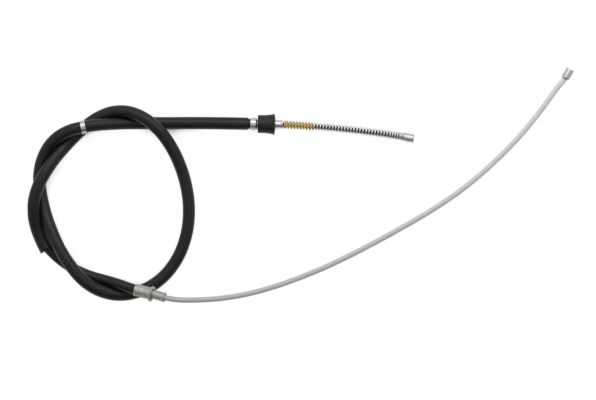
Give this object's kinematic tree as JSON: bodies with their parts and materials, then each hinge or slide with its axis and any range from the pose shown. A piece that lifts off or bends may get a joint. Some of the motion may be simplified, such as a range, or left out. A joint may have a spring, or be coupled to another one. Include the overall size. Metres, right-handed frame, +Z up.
{
  "type": "parking brake cable",
  "caption": "Flexible control cable for a parking brake: wire rope in a coiled black casing, return spring, rubber boot, ferrules and barrel nipples.",
  "frame": {"origin": "middle of the floor rectangle under the cable as it lies flat", "axes": "+X to the right in the picture, along the longest extent, towards the lever's nipple; +Y to the picture's top edge; +Z up from the floor, towards the camera"},
  "size_m": [0.5162, 0.2216, 0.0306],
  "materials": {
    "nipple_zinc": "bare zinc plating with a satin, faintly grained surface",
    "spring_steel": "bright zinc-plated spring wire",
    "dark_coat": "thin black plastic coat, satin",
    "ferrule_zinc": "bright zinc plating, slightly marked by the crimping tool",
    "boot_rubber": "black moulded rubber, matt with a soft sheen",
    "hose_rubber": "satin black protective hose",
    "ring_steel": "bright crimped steel band",
    "sheath_plastic": "satin black extruded sheath",
    "armour_steel": "bare laid steel, hidden in the sheath",
    "liner_plastic": "smooth off-white plastic liner, hidden",
    "rope_steel": "galvanised strands",
    "rear_ferrule_zinc": "dull zinc plating, beige-grey",
    "grey_coat": "smooth pale grey plastic coat with a soft gloss"
  },
  "bodies": {
    "root": {"front_nipple": "nipple_zinc", "return_spring": "spring_steel", "front_wire_coat": "dark_coat", "front_ferrule": "ferrule_zinc", "front_boot": "boot_rubber", "protective_hose": "hose_rubber", "locating_ring": "ring_steel", "casing_sheath": "sheath_plastic", "casing_armour": "armour_steel", "casing_liner": "liner_plastic", "wire_rope": "rope_steel", "rear_ferrule": "rear_ferrule_zinc", "rear_guide_tube": "rear_ferrule_zinc", "rear_wire_coat": "grey_coat", "rear_nipple": "nipple_zinc"}
  },
  "joints": []
}
